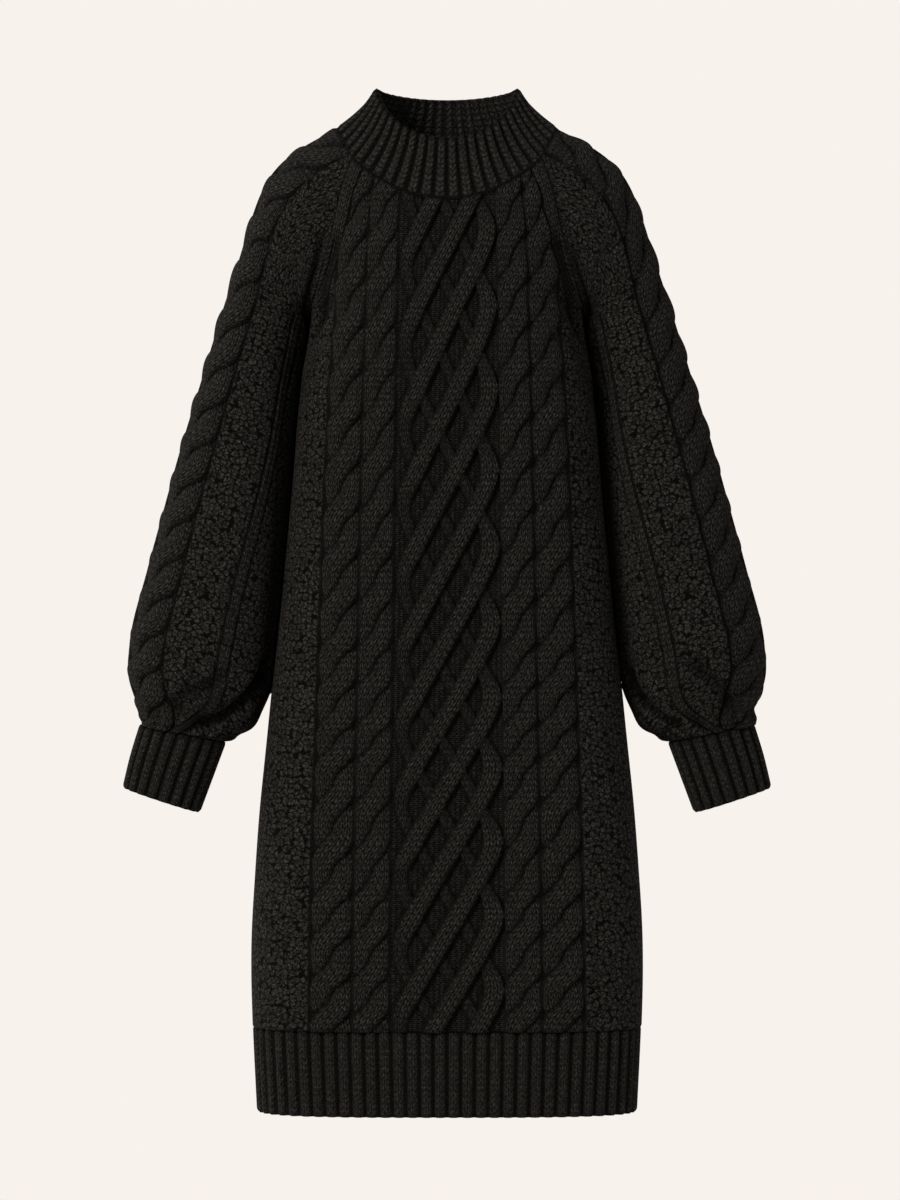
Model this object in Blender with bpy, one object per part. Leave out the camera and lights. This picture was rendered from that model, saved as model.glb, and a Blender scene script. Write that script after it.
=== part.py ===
"""A knee-length sweater dress in cable knit: raglan sleeves, a standing collar, and ribbed cuffs and hem.

It is filled out as if worn, hollow, with nobody inside. Z points up and the front faces -Y. The origin lies
where the wearer's shoulders hold the dress, between the two ends of the neckline. Left and right are the
wearer's, so the left sleeve is at +X. Sizes are in millimetres until each mesh is made, in metres.
"""

from collections import namedtuple

import bpy
import numpy as np

MM = 0.001
WALL = 4.0  # thickness of the knit
SEAM_GAP = 0.3  # between two pieces at a seam

UNDERARM_HEIGHT = -187.0
RIB_TOP_HEIGHT = -895.0
HEM_HEIGHT = -979.0
HEM_RIB_STEP = 1.5  # how far the rib draws the hem in below its seam

PANEL_COLUMNS = 18  # faces across a front or back
RAGLAN_ROWS = 8  # faces along a raglan seam
NECK_COLUMNS = 4  # faces along the sleeve's end at the neck
SKIRT_ROWS = 17
HEM_RIB_ROWS = 3
CAP_ROWS = 7
SLEEVE_ROWS = 13
CUFF_ROWS = 3
COLLAR_ROWS = 4
ARC_SAMPLES = 240
DIAGONAL_ORDER = np.array([1.0, 2.3, 3.7])  # any fixed direction that no seam runs square to

Grid = namedtuple("Grid", "rows closed member")  # a piece's outer face, and the part of the dress it is of


def table(names, *rows):
    """Rows of sizes as named columns."""
    return dict(zip(names.split(), np.array(rows, float).T))


# The body: a rounded section at each height. Above the underarms only its front and back depths are used.
BODY = table(
    "height half_width front back squareness",
    (10.0, 136.0, 52.0, 68.0, 2.5),
    (-30.0, 136.0, 67.0, 80.0, 2.5),
    (-75.0, 136.0, 81.0, 88.5, 2.5),
    (-125.0, 136.0, 93.5, 92.5, 2.5),
    (-187.0, 136.0, 103.0, 92.0, 2.5),
    (-250.0, 146.0, 105.0, 88.0, 2.6),
    (-330.0, 153.0, 99.0, 84.0, 2.8),
    (-420.0, 161.0, 92.0, 87.0, 2.9),
    (-520.0, 171.0, 92.0, 95.0, 3.0),
    (-630.0, 182.5, 94.0, 99.0, 3.1),
    (-740.0, 192.0, 95.0, 98.0, 3.2),
    (-850.0, 196.0, 95.0, 95.0, 3.2),
    (-895.0, 194.5, 93.0, 93.0, 3.2),
    (-979.0, 190.5, 90.0, 90.0, 3.2),
)

# Each raglan seam, from the underarm (0) to the neck (1), with the height of the panel's middle at that share.
FRONT_RAGLAN = table(
    "share x y z middle_z",
    (0.00, 136.0, 0.0, -187.0, -187.0),
    (0.13, 135.5, -16.0, -182.0, -181.0),
    (0.30, 129.0, -43.0, -160.0, -165.0),
    (0.60, 113.5, -58.0, -103.0, -128.0),
    (0.82, 104.0, -55.0, -60.0, -96.0),
    (1.00, 94.0, -47.0, -31.0, -74.0),
)
BACK_RAGLAN = table(
    "share x y z middle_z",
    (0.00, 136.0, 0.0, -187.0, -187.0),
    (0.13, 135.5, 14.0, -181.0, -178.0),
    (0.30, 128.0, 41.0, -155.0, -156.0),
    (0.60, 112.0, 58.0, -92.0, -104.0),
    (0.82, 102.0, 57.0, -42.0, -57.0),
    (1.00, 92.0, 50.0, -9.0, -20.0),
)
YOKE_SQUARENESS = 2.5
NECKLINE_FALL = 2.1  # how roundly a row falls from its ends to its middle
SIDE_NECK = (110.0, 1.0, 2.0)  # the top of the shoulder, halfway between the two raglan seams

# Sleeve sections, by distance down from the underarm, as the inner and the outer point of each.
SLEEVE = table(
    "down inner_x inner_z outer_x outer_z half_depth middle_y",
    (0.0, 144.0, -199.0, 222.5, -173.0, 45.0, -1.0),
    (56.0, 154.0, -250.0, 238.5, -226.0, 47.0, -2.0),
    (131.0, 159.5, -326.0, 260.0, -297.0, 51.0, -4.0),
    (189.0, 164.5, -383.0, 276.0, -353.0, 55.0, -5.0),
    (277.0, 172.0, -470.0, 299.5, -440.0, 59.0, -7.0),
    (350.0, 178.5, -540.0, 317.5, -515.0, 61.0, -8.0),
    (381.0, 181.0, -567.0, 318.0, -548.0, 58.0, -9.0),
    (401.0, 188.0, -584.0, 311.0, -571.0, 51.0, -9.0),
    (415.0, 202.0, -598.0, 306.0, -584.0, 43.0, -10.0),
    (430.0, 221.0, -612.0, 306.0, -594.0, 36.0, -10.0),
)
CUFF = table(
    "down inner_x inner_z outer_x outer_z half_depth middle_y",
    (0.0, 221.0, -612.0, 306.0, -594.0, 36.0, -10.0),
    (35.0, 234.0, -647.0, 315.5, -625.5, 34.5, -11.0),
    (70.0, 247.0, -682.0, 323.0, -657.0, 33.5, -12.0),
)
SLEEVE_SQUARENESS = 2.2
SLEEVE_GIRTH = 7.0  # round a sleeve, in half depths
CUFF_SQUARENESS = 2.3
SHOULDER_WAY = (0.90, 0.0, -0.43)  # how a sleeve leaves the neck
UNDERARM_WAY = (0.60, 0.0, -0.80)  # how it leaves the underarm
CAP_START, CAP_END = 0.44, 0.62  # how long the cap keeps each direction, of its length

# The largest folds, as troughs on a sleeve: from one place to another, by turn (0 inner, 0.25 front,
# 0.5 outer) and distance down.
FOLDS = {
    "right_sleeve": table(
        "start_turn start_down end_turn end_down width depth",
        (0.20, 414.0, 0.02, 350.0, 15.0, 9.0),
        (0.30, 404.0, 0.24, 362.0, 12.0, 5.0),
        (0.70, 408.0, 0.80, 352.0, 14.0, 6.0),
    ),
    "left_sleeve": table(
        "start_turn start_down end_turn end_down width depth",
        (0.14, 412.0, 0.02, 366.0, 13.0, 6.0),
        (0.33, 406.0, 0.28, 356.0, 13.0, 5.0),
        (0.76, 410.0, 0.88, 356.0, 14.0, 7.0),
    ),
}

# The collar's top edge, and how it bends in on the way up.
RIM_HALF_WIDTH = 71.0
RIM_FRONT, RIM_BACK = 64.0, 66.0
RIM_FRONT_HEIGHT, RIM_SIDE_HEIGHT, RIM_BACK_HEIGHT = -13.5, 38.0, 34.5
RIM_FRONT_DIP, RIM_BACK_DIP = 1.2, 2.0  # how late the rim leaves its side height on the way to its middles
COLLAR_LEAN = 0.42  # share of its inward lean taken up close above the seam

KNIT_COLOUR = (0.0103, 0.0091, 0.0080, 1.0)
KNIT_ROUGHNESS = 0.92


def spline(knots, values, at):
    """A smooth curve through the values, each row's slope taken from its two neighbours."""
    slopes = np.gradient(values, knots)
    at = np.clip(at, min(knots[0], knots[-1]), max(knots[0], knots[-1]))
    order = 1 if knots[-1] > knots[0] else -1
    left = np.clip(np.searchsorted(knots * order, at * order, side="right") - 1, 0, len(knots) - 2)
    span = knots[left + 1] - knots[left]
    t = (at - knots[left]) / span
    rise = values[left] * (1 + 2 * t) * (1 - t) ** 2 + values[left + 1] * t * t * (3 - 2 * t)
    bend = slopes[left] * t * (1 - t) ** 2 - slopes[left + 1] * t * t * (1 - t)
    return rise + bend * span


def read(sizes, name, at):
    """A column of a table, at places along its first column."""
    return spline(next(iter(sizes.values())), sizes[name], np.asarray(at, float))


def even(points, count):
    """The points of a fine line that part it into equal lengths."""
    steps = np.linalg.norm(np.diff(points, axis=0), axis=1)
    length = np.concatenate([[0.0], np.cumsum(steps)])
    places = np.linspace(0.0, length[-1], count + 1)
    return np.stack([np.interp(places, length, axis) for axis in points.T], axis=1)


def across(edge, middle_z, depth_name, squareness):
    """A panel's row, from its right edge through its middle to its left edge, as part of a rounded section."""
    share = np.sin(np.linspace(-np.pi / 2, np.pi / 2, ARC_SAMPLES))
    x, end_y, end_z = edge
    z = end_z + (middle_z - end_z) * (1 - np.abs(share) ** NECKLINE_FALL)
    depth, end_depth = (read(BODY, depth_name, place) for place in (z, end_z))
    section_width = x / (1 - (abs(end_y) / end_depth) ** squareness) ** (1 / squareness)
    bulge = (1 - (np.abs(share) * x / section_width) ** squareness) ** (1 / squareness)
    y = depth * bulge * (-1.0 if depth_name == "front" else 1.0)
    return even(np.stack([x * share, y, z], axis=1), PANEL_COLUMNS)


def raglan_shares():
    return np.linspace(0.0, 1.0, RAGLAN_ROWS + 1)


def body_rows(heights, depth_name):
    """Rows of half the body's section, at these heights."""
    rows = []
    for height in heights:
        edge = read(BODY, "half_width", height), 0.0, height
        rows.append(across(edge, height, depth_name, read(BODY, "squareness", height)))
    return rows


def panel(depth_name, raglan):
    """A front or back, from its neckline to the top of the hem's rib."""
    rows = []
    for share in raglan_shares()[:0:-1]:
        edge = [read(raglan, name, share) for name in "xyz"]
        rows.append(across(edge, read(raglan, "middle_z", share), depth_name, YOKE_SQUARENESS))
    rows += body_rows(np.linspace(UNDERARM_HEIGHT, RIB_TOP_HEIGHT, SKIRT_ROWS + 1), depth_name)
    return np.array(rows)


def hem_rib(depth_name):
    """Half of the hem's rib. It starts at the panel's edge and draws in a little."""
    rows = np.array(body_rows(np.linspace(RIB_TOP_HEIGHT, HEM_HEIGHT, HEM_RIB_ROWS + 1), depth_name))
    rows[1:, :, :2] *= 1 - HEM_RIB_STEP / rows[1:, :, 0].max()
    return rows


def armhole():
    """The left sleeve's edge: from the underarm up the front, past the neck and down the back."""
    shares = raglan_shares()
    front, back = (
        np.stack([read(raglan, name, shares) for name in "xyz"], axis=1)
        for raglan in (FRONT_RAGLAN, BACK_RAGLAN)
    )
    bow = np.array([front[-1], SIDE_NECK, back[-1]])
    places = np.linspace(0.0, 2.0, ARC_SAMPLES)
    neck = even(np.stack([spline(np.arange(3.0), axis, places) for axis in bow.T], axis=1), NECK_COLUMNS)
    return np.concatenate([front, neck[1:-1], back[:0:-1]])


def loop_turns(loop):
    """How far round the loop each of its points lies, from 0 to 1."""
    steps = np.linalg.norm(np.diff(np.concatenate([loop, loop[:1]]), axis=0), axis=1)
    return np.concatenate([[0.0], np.cumsum(steps)[:-1]]) / steps.sum()


def ring(sizes, down, turns, squareness):
    """A section of the left sleeve or cuff, and the direction that it faces."""
    inner = np.array([read(sizes, "inner_x", down), 0.0, read(sizes, "inner_z", down)])
    outer = np.array([read(sizes, "outer_x", down), 0.0, read(sizes, "outer_z", down)])
    middle, half = (inner + outer) / 2, (inner - outer) / 2
    round_x, round_y = np.cos(2 * np.pi * turns), np.sin(2 * np.pi * turns)
    side = np.sign(round_x) * np.abs(round_x) ** (2 / squareness)
    front = np.sign(round_y) * np.abs(round_y) ** (2 / squareness)
    points = middle + side[:, None] * half
    points[:, 1] = read(sizes, "middle_y", down) - front * read(sizes, "half_depth", down)
    way = np.array([-half[2], 0.0, half[0]])
    return points, way / np.linalg.norm(way)


def unit(vectors):
    """The vectors at length 1. One of no length stays as it is."""
    return vectors / np.maximum(np.linalg.norm(vectors, axis=-1, keepdims=True), 1e-9)


def bridge(start, start_way, end, end_way, share):
    """A point on a cubic from start to end that leaves and arrives along the two directions."""
    reach = np.linalg.norm(end - start, axis=1, keepdims=True)
    first, last = start + start_way * reach * CAP_START, end - end_way * reach * CAP_END
    rest = 1 - share
    weights = rest**3, 3 * rest * rest * share, 3 * rest * share * share, share**3
    return sum(weight * point for weight, point in zip(weights, (start, first, last, end)))


def fold_depth(folds, turns, down):
    """How deep the troughs are at these turns and this distance down."""
    total = np.zeros(len(turns))
    girth = SLEEVE_GIRTH * read(SLEEVE, "half_depth", down)
    for row in zip(*folds.values()):
        start_turn, start_down, end_turn, end_down, width, depth = row
        share = np.clip((down - start_down) / (end_down - start_down), 0.0, 1.0)
        middle = start_turn + share * (end_turn - start_turn)
        away = (turns - middle + 0.5) % 1.0 - 0.5
        beyond = max(end_down - down, down - start_down, 0.0)
        total += depth * np.exp(-((away * girth / width) ** 2) - (beyond / width) ** 2)
    return total


def sleeve(name):
    """The left sleeve's rows, with the folds of the one that is named."""
    edge = armhole()
    turns = loop_turns(edge)
    first, way = ring(SLEEVE, 0.0, turns, SLEEVE_SQUARENESS)
    climb = np.clip((edge[:, 2] - UNDERARM_HEIGHT) / -UNDERARM_HEIGHT, 0.0, 1.0)[:, None]
    climb = climb * climb * (3 - 2 * climb)
    leave = unit(np.array(UNDERARM_WAY) * (1 - climb) + np.array(SHOULDER_WAY) * climb)
    rows = [bridge(edge, leave, first, way, share) for share in np.linspace(0, 1, CAP_ROWS + 1)[:-1]]
    for down in np.linspace(0.0, SLEEVE["down"][-1], SLEEVE_ROWS + 1):
        points, _ = ring(SLEEVE, down, turns, SLEEVE_SQUARENESS)
        middle = points.mean(axis=0)
        rows.append(points - unit(points - middle) * fold_depth(FOLDS[name], turns, down)[:, None])
    return np.array(rows)


def cuff():
    """The left cuff's rows."""
    turns = loop_turns(armhole())
    downs = np.linspace(0.0, CUFF["down"][-1], CUFF_ROWS + 1)
    return np.array([ring(CUFF, down, turns, CUFF_SQUARENESS)[0] for down in downs])


def mirrored(rows):
    """The wearer's right-hand twin, with its columns the other way so that it still faces out."""
    twin = rows * (-1.0, 1.0, 1.0)
    return np.concatenate([twin[:, :1], twin[:, :0:-1]], axis=1)


def collar(front_rows, back_rows):
    """A ring that follows the whole neckline, from the middle front round by the wearer's left."""
    edge = armhole()[RAGLAN_ROWS + 1 : RAGLAN_ROWS + NECK_COLUMNS]
    front, back, half = front_rows[0], back_rows[0], PANEL_COLUMNS // 2
    side = np.concatenate([front[half:], edge, back[:half - 1:-1]])
    base = np.concatenate([side, side[-2:0:-1] * (-1.0, 1.0, 1.0)])
    places = loop_turns(base)
    turn = 2 * np.pi * places
    y = -np.cos(turn)
    rim = np.stack([RIM_HALF_WIDTH * np.sin(turn), np.where(y < 0, RIM_FRONT, RIM_BACK) * y, y * 0], axis=1)
    forward, backward = np.clip(-y, 0, 1), np.clip(y, 0, 1)
    front_drop = (RIM_SIDE_HEIGHT - RIM_FRONT_HEIGHT) * forward**RIM_FRONT_DIP
    back_drop = (RIM_SIDE_HEIGHT - RIM_BACK_HEIGHT) * backward**RIM_BACK_DIP
    rim[:, 2] = RIM_SIDE_HEIGHT - front_drop - back_drop
    rows = []
    for share in np.linspace(0.0, 1.0, COLLAR_ROWS + 1):
        lean = share + COLLAR_LEAN * share * (1 - share)
        row = base + (rim - base) * lean
        row[:, 2] = base[:, 2] + (rim[:, 2] - base[:, 2]) * share
        rows.append(row)
    return np.array(rows[::-1])


def corner_ids(rows, closed):
    """Each face of a grid as four places in its list of points, wound to face out."""
    count, width = rows.shape[:2]
    ids = np.arange(count * width).reshape(count, width)
    right = np.roll(ids, -1, axis=1) if closed else ids[:, 1:]
    left = ids if closed else ids[:, :-1]
    return np.stack([left[:-1], left[1:], right[1:], right[:-1]], axis=-1).reshape(-1, 4)


def shared_normals(grids):
    """Outward directions of every grid's points, the same for all the pieces that meet at a seam. Body, sleeves
    and collar count alike there, so that the direction halves the angle between them."""
    points = np.concatenate([grid.rows.reshape(-1, 3) for grid in grids.values()])
    _, index = np.unique(np.round(points, 4), axis=0, return_inverse=True)
    index, start, spans = index.reshape(-1), 0, {}
    totals = {grid.member: np.zeros((index.max() + 1, 3)) for grid in grids.values()}
    for name, grid in grids.items():
        faces = corner_ids(grid.rows, grid.closed) + start
        a, b, c, d = (points[faces[:, i]] for i in range(4))
        for corner in range(4):
            np.add.at(totals[grid.member], index[faces[:, corner]], np.cross(c - a, d - b))
        spans[name] = slice(start, start + grid.rows.shape[0] * grid.rows.shape[1])
        start = spans[name].stop
    normals = unit(sum(unit(total) for total in totals.values()))[index]
    return {name: normals[span].reshape(grids[name].rows.shape) for name, span in spans.items()}


def pulled_in(rows, closed):
    """The grid with its edges drawn back by half a seam gap."""
    rows = rows.copy()
    rows[0] += unit(rows[1] - rows[0]) * SEAM_GAP / 2
    rows[-1] += unit(rows[-2] - rows[-1]) * SEAM_GAP / 2
    if not closed:
        rows[:, 0] += unit(rows[:, 1] - rows[:, 0]) * SEAM_GAP / 2
        rows[:, -1] += unit(rows[:, -2] - rows[:, -1]) * SEAM_GAP / 2
    return rows


def border(ids, closed):
    """The grid's edges as closed runs of point places, in the order that faces the strips out."""
    if closed:
        return [ids[0], ids[-1][::-1]]
    return [np.concatenate([ids[0], ids[1:, -1], ids[-1, -2::-1], ids[-2:0:-1, 0]])]


def edge_strip(points, run, count):
    """The faces between a run of outer points and the inner ones behind it. Each four corners are parted along
    the diagonal that the neighbour at the seam also takes, so that the two lie side by side."""
    following = np.roll(run, -1)
    order = points @ DIAGONAL_ORDER
    up = (order[run] < order[following])[:, None]
    a, b, far_b, far_a = run, following, following + count, run + count
    first = np.where(up, np.stack([a, b, far_b], axis=1), np.stack([a, b, far_a], axis=1))
    second = np.where(up, np.stack([a, far_b, far_a], axis=1), np.stack([b, far_b, far_a], axis=1))
    return np.concatenate([first, second])


def knit_material(name):
    material = bpy.data.materials.new(name)
    material.use_nodes = True
    shader = material.node_tree.nodes["Principled BSDF"]
    shader.inputs["Base Color"].default_value = KNIT_COLOUR
    shader.inputs["Roughness"].default_value = KNIT_ROUGHNESS
    shader.inputs["Metallic"].default_value = 0.0
    return material


def cloth(name, grid, normals):
    """One piece of knit as a closed wall: its outer face, its inner face and the strip between them."""
    outer = pulled_in(grid.rows, grid.closed)
    inner = pulled_in(grid.rows - normals * WALL, grid.closed)
    count = outer.shape[0] * outer.shape[1]
    faces = corner_ids(outer, grid.closed)
    ids = np.arange(count).reshape(outer.shape[:2])
    points = np.concatenate([outer.reshape(-1, 3), inner.reshape(-1, 3)])
    strips = [edge_strip(points, run, count) for run in border(ids, grid.closed)]
    mesh = bpy.data.meshes.new(name)
    every_face = [*faces.tolist(), *(faces[:, ::-1] + count).tolist(), *np.concatenate(strips).tolist()]
    mesh.from_pydata((points * MM).tolist(), [], every_face)
    mesh.materials.append(knit_material(name))
    mesh.shade_smooth()
    piece = bpy.data.objects.new(name, mesh)
    bpy.context.scene.collection.objects.link(piece)
    return piece


def main():
    for old in list(bpy.data.objects):
        bpy.data.objects.remove(old, do_unlink=True)
    front, back = panel("front", FRONT_RAGLAN), panel("back", BACK_RAGLAN)[:, ::-1]
    grids = {
        "front_panel": Grid(front, False, "body"),
        "back_panel": Grid(back, False, "body"),
        "front_hem_rib": Grid(hem_rib("front"), False, "body"),
        "back_hem_rib": Grid(hem_rib("back")[:, ::-1], False, "body"),
        "collar": Grid(collar(front, back[:, ::-1]), True, "collar"),
        "left_sleeve": Grid(sleeve("left_sleeve"), True, "sleeves"),
        "right_sleeve": Grid(mirrored(sleeve("right_sleeve")), True, "sleeves"),
        "left_cuff": Grid(cuff(), True, "sleeves"),
        "right_cuff": Grid(mirrored(cuff()), True, "sleeves"),
    }
    normals = shared_normals(grids)
    for name, grid in grids.items():
        cloth(name, grid, normals[name])


main()
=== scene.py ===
"""A knee-length sweater dress in one dark charcoal melange yarn, filled out as if worn with nobody inside.

Each knitted piece is a closed shell. Its outer face carries the cables, lattice, ribs and folds as relief,
and its stitches as a pattern that follows the rows and columns of the knitting. Forms are worked out in
millimetres and become metres when a mesh is made. Z points up and the front faces -Y. The wearer's left is
at +X.
"""

import bpy
import numpy as np
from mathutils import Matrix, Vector


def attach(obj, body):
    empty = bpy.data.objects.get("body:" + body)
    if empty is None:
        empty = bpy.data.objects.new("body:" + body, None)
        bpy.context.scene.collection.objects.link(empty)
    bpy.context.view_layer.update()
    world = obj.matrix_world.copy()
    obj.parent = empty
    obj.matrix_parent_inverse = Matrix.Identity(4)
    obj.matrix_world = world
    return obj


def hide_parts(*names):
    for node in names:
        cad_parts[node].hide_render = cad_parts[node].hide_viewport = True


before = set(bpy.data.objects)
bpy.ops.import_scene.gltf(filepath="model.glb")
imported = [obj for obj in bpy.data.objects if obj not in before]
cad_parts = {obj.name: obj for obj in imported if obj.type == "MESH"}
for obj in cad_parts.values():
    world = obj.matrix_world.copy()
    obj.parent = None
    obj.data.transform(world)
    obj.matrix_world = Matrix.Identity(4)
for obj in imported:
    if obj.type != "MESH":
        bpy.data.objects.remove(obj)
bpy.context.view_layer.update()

MM = 0.001
SEAM_GAP = 0.12  # between two pieces at a seam, whose edges are drawn together
KNIT_THICKNESS = 5.5  # from the relief's middle level to the back of the knitting
STITCH_WIDTH = 4.8
STITCH_HEIGHT = 4.0
COLUMN_ROW = 6.0  # a stitch of a knit column, which is drawn out lengthwise
MOSS_WIDTH, MOSS_HEIGHT = 6.4, 5.8

# -------- camera, floor and lights

VIEW_DISTANCE = 5.0
VIEW_HEIGHT = 1.2  # how much of the dress's plane the picture takes in, from bottom to top
VIEW_MIDDLE = (0.003, -0.470)
SENSOR = 24.0
FLOOR_REACH, FLOOR_HEIGHT = 1.45, -1.3
DRESS_MIDDLE = (0.0, 0.0, -0.45)


def srgb(code):
    """A hex colour as linear red, green, blue and 1."""
    parts = [int(code[i : i + 2], 16) / 255 for i in (1, 3, 5)]
    return tuple(p / 12.92 if p <= 0.04045 else ((p + 0.055) / 1.055) ** 2.4 for p in parts) + (1.0,)


def add(tree, kind, inputs=(), **settings):
    """Adds one node with its settings. Each input is a value or a node's output. Gives the first output."""
    node = tree.nodes.new(kind)
    for name, value in settings.items():
        setattr(node, name, value)
    for key, value in dict(inputs).items():
        if isinstance(value, bpy.types.NodeSocket):
            tree.links.new(value, node.inputs[key])
        else:
            node.inputs[key].default_value = value
    return node.outputs[0] if node.outputs else node


def place_camera():
    lens = bpy.data.cameras.new("portrait_camera")
    lens.sensor_fit = "VERTICAL"
    lens.sensor_height = SENSOR
    lens.lens = SENSOR * VIEW_DISTANCE / VIEW_HEIGHT
    camera = bpy.data.objects.new("portrait_camera", lens)
    camera.location = (VIEW_MIDDLE[0], -VIEW_DISTANCE, VIEW_MIDDLE[1])
    camera.rotation_euler = (np.pi / 2, 0.0, 0.0)
    bpy.context.scene.collection.objects.link(camera)
    bpy.context.scene.camera = camera


def softbox(name, place, power, size, tint="#FFFFFF"):
    """A soft rectangular light, aimed at the middle of the dress."""
    light = bpy.data.lights.new(name, "AREA")
    light.shape = "RECTANGLE"
    light.size, light.size_y = size
    light.energy = power
    light.color = srgb(tint)[:3]
    lamp = bpy.data.objects.new(name, light)
    lamp.location = place
    lamp.rotation_euler = (Vector(DRESS_MIDDLE) - Vector(place)).to_track_quat("-Z", "Y").to_euler()
    bpy.context.scene.collection.objects.link(lamp)


def studio():
    """A cream studio: an even glow from all round, one big soft window and a rim light."""
    scene = bpy.context.scene
    scene.view_settings.view_transform = "Standard"
    world = bpy.data.worlds.new("cream_studio")
    world.use_nodes = True
    scene.world = world
    tree = world.node_tree
    tree.nodes.clear()
    seen = add(tree, "ShaderNodeBackground", {"Color": srgb("#F7F2EC"), "Strength": 1.0})
    glow = add(tree, "ShaderNodeBackground", {"Color": srgb("#F4F1EE"), "Strength": 0.30})
    path = tree.nodes.new("ShaderNodeLightPath")
    mixed = add(tree, "ShaderNodeMixShader", {0: path.outputs["Is Camera Ray"], 1: glow, 2: seen})
    add(tree, "ShaderNodeOutputWorld", {"Surface": mixed})
    softbox("window", (-2.3, -2.9, 1.7), 150.0, (1.5, 1.8), "#FFFAF4")
    softbox("left_rim", (-2.4, 1.3, 0.3), 30.0, (0.7, 2.2))
    softbox("right_fill", (2.9, -1.9, 0.1), 20.0, (1.6, 2.0))
    floor_mesh = bpy.data.meshes.new("studio_floor")
    around = ((-1, -1), (1, -1), (1, 1), (-1, 1))
    corners = [(x * FLOOR_REACH, y * FLOOR_REACH, FLOOR_HEIGHT) for x, y in around]
    floor_mesh.from_pydata(corners, [], [(0, 1, 2, 3)])
    floor = bpy.data.objects.new("studio_floor", floor_mesh)
    paper = bpy.data.materials.new("cream_backdrop_paper")
    paper.use_nodes = True
    shader = paper.node_tree.nodes["Principled BSDF"]
    shader.inputs["Base Color"].default_value = srgb("#EFEAE2")
    shader.inputs["Roughness"].default_value = 0.8
    floor_mesh.materials.append(paper)
    scene.collection.objects.link(floor)


# -------- the dress's form, as its frame has it


def table(names, *rows):
    """Rows of sizes as named columns."""
    return dict(zip(names.split(), np.array(rows, float).T))


UNDERARM_HEIGHT = -187.0
RIB_TOP_HEIGHT = -895.0
HEM_HEIGHT = -979.0
HEM_RIB_STEP = 1.5

BODY = table(
    "height half_width front back squareness",
    (10.0, 136.0, 52.0, 68.0, 2.5),
    (-30.0, 136.0, 67.0, 80.0, 2.5),
    (-75.0, 136.0, 81.0, 88.5, 2.5),
    (-125.0, 136.0, 93.5, 92.5, 2.5),
    (-187.0, 136.0, 103.0, 92.0, 2.5),
    (-250.0, 146.0, 105.0, 88.0, 2.6),
    (-330.0, 153.0, 99.0, 84.0, 2.8),
    (-420.0, 161.0, 92.0, 87.0, 2.9),
    (-520.0, 171.0, 92.0, 95.0, 3.0),
    (-630.0, 182.5, 94.0, 99.0, 3.1),
    (-740.0, 192.0, 95.0, 98.0, 3.2),
    (-850.0, 196.0, 95.0, 95.0, 3.2),
    (-895.0, 194.5, 93.0, 93.0, 3.2),
    (-979.0, 190.5, 90.0, 90.0, 3.2),
)
FRONT_RAGLAN = table(
    "share x y z middle_z",
    (0.00, 136.0, 0.0, -187.0, -187.0),
    (0.13, 135.5, -16.0, -182.0, -181.0),
    (0.30, 129.0, -43.0, -160.0, -165.0),
    (0.60, 113.5, -58.0, -103.0, -128.0),
    (0.82, 104.0, -55.0, -60.0, -96.0),
    (1.00, 94.0, -47.0, -31.0, -74.0),
)
BACK_RAGLAN = table(
    "share x y z middle_z",
    (0.00, 136.0, 0.0, -187.0, -187.0),
    (0.13, 135.5, 14.0, -181.0, -178.0),
    (0.30, 128.0, 41.0, -155.0, -156.0),
    (0.60, 112.0, 58.0, -92.0, -104.0),
    (0.82, 102.0, 57.0, -42.0, -57.0),
    (1.00, 92.0, 50.0, -9.0, -20.0),
)
YOKE_SQUARENESS = 2.5
NECKLINE_FALL = 2.1
SIDE_NECK = (110.0, 1.0, 2.0)

SLEEVE = table(
    "down inner_x inner_z outer_x outer_z half_depth middle_y",
    (0.0, 144.0, -199.0, 222.5, -173.0, 45.0, -1.0),
    (56.0, 154.0, -250.0, 238.5, -226.0, 47.0, -2.0),
    (131.0, 159.5, -326.0, 260.0, -297.0, 51.0, -4.0),
    (189.0, 164.5, -383.0, 276.0, -353.0, 55.0, -5.0),
    (277.0, 172.0, -470.0, 299.5, -440.0, 59.0, -7.0),
    (350.0, 178.5, -540.0, 317.5, -515.0, 61.0, -8.0),
    (381.0, 181.0, -567.0, 318.0, -548.0, 58.0, -9.0),
    (401.0, 188.0, -584.0, 311.0, -571.0, 51.0, -9.0),
    (415.0, 202.0, -598.0, 306.0, -584.0, 43.0, -10.0),
    (430.0, 221.0, -612.0, 306.0, -594.0, 36.0, -10.0),
)
CUFF = table(
    "down inner_x inner_z outer_x outer_z half_depth middle_y",
    (0.0, 221.0, -612.0, 306.0, -594.0, 36.0, -10.0),
    (35.0, 234.0, -647.0, 315.5, -625.5, 34.5, -11.0),
    (70.0, 247.0, -682.0, 323.0, -657.0, 33.5, -12.0),
)
SLEEVE_SQUARENESS = 2.2
CUFF_SQUARENESS = 2.3
SHOULDER_WAY = (0.90, 0.0, -0.43)
UNDERARM_WAY = (0.60, 0.0, -0.80)
CAP_START, CAP_END = 0.44, 0.62

RIM_HALF_WIDTH = 71.0
RIM_FRONT, RIM_BACK = 64.0, 66.0
RIM_FRONT_HEIGHT, RIM_SIDE_HEIGHT, RIM_BACK_HEIGHT = -12.5, 42.0, 36.5
RIM_FRONT_DIP, RIM_BACK_DIP = 1.2, 2.0  # 1 dips evenly from side to middle, more dips late
COLLAR_LEAN = 0.42


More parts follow.
